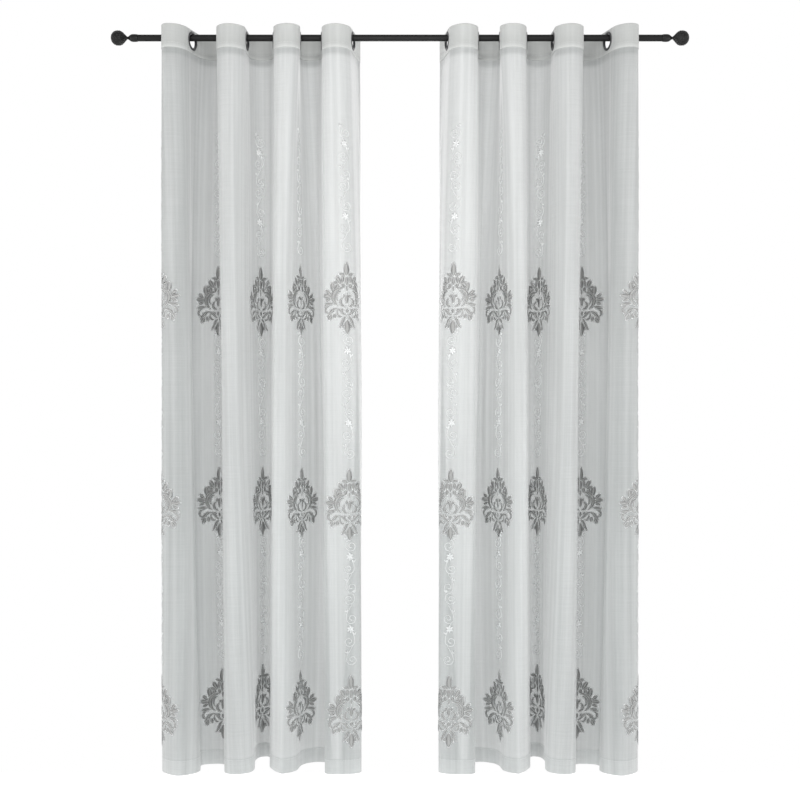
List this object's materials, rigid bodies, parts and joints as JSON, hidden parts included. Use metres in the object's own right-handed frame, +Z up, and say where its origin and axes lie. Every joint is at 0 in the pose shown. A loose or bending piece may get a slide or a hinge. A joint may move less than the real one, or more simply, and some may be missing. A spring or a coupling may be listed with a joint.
{
  "type": "pair of sheer voile eyelet curtains on a curtain rod",
  "caption": "Pair of sheer voile eyelet curtains hanging in soft folds on a slim straight rod with ball end knobs, with embroidered damask motifs.",
  "frame": {"origin": "on the rod's axis, at the middle of its length", "axes": "+Z up, +Y away from the viewer, towards the wall that the rod is fixed to, +X to the viewer's right"},
  "size_m": [1.671, 0.1805, 2.13],
  "materials": {
    "voile": "sheer plain-weave voile, off-white",
    "heading_band": "doubled voile with a soft stiffener, off-white",
    "embroidery_grey": "grey satin-stitch embroidery thread",
    "embroidery_white": "white embroidery and sewing thread, soft lustre",
    "ring_metal": "dark gunmetal, satin",
    "rod_black": "black powder coat, satin",
    "knob_black": "black, satin, faceted ball"
  },
  "bodies": {
    "root": {"curtain_rod": "rod_black", "finial_left": "knob_black", "finial_right": "knob_black", "heading_left": "heading_band", "heading_right": "heading_band", "panel_left": "voile", "panel_right": "voile", "eyelet_left_1": "ring_metal", "eyelet_left_2": "ring_metal", "eyelet_left_3": "ring_metal", "eyelet_left_4": "ring_metal", "eyelet_left_5": "ring_metal", "eyelet_left_6": "ring_metal", "eyelet_left_7": "ring_metal", "eyelet_left_8": "ring_metal", "eyelet_right_1": "ring_metal", "eyelet_right_2": "ring_metal", "eyelet_right_3": "ring_metal", "eyelet_right_4": "ring_metal", "eyelet_right_5": "ring_metal", "eyelet_right_6": "ring_metal", "eyelet_right_7": "ring_metal", "eyelet_right_8": "ring_metal"}
  },
  "joints": []
}
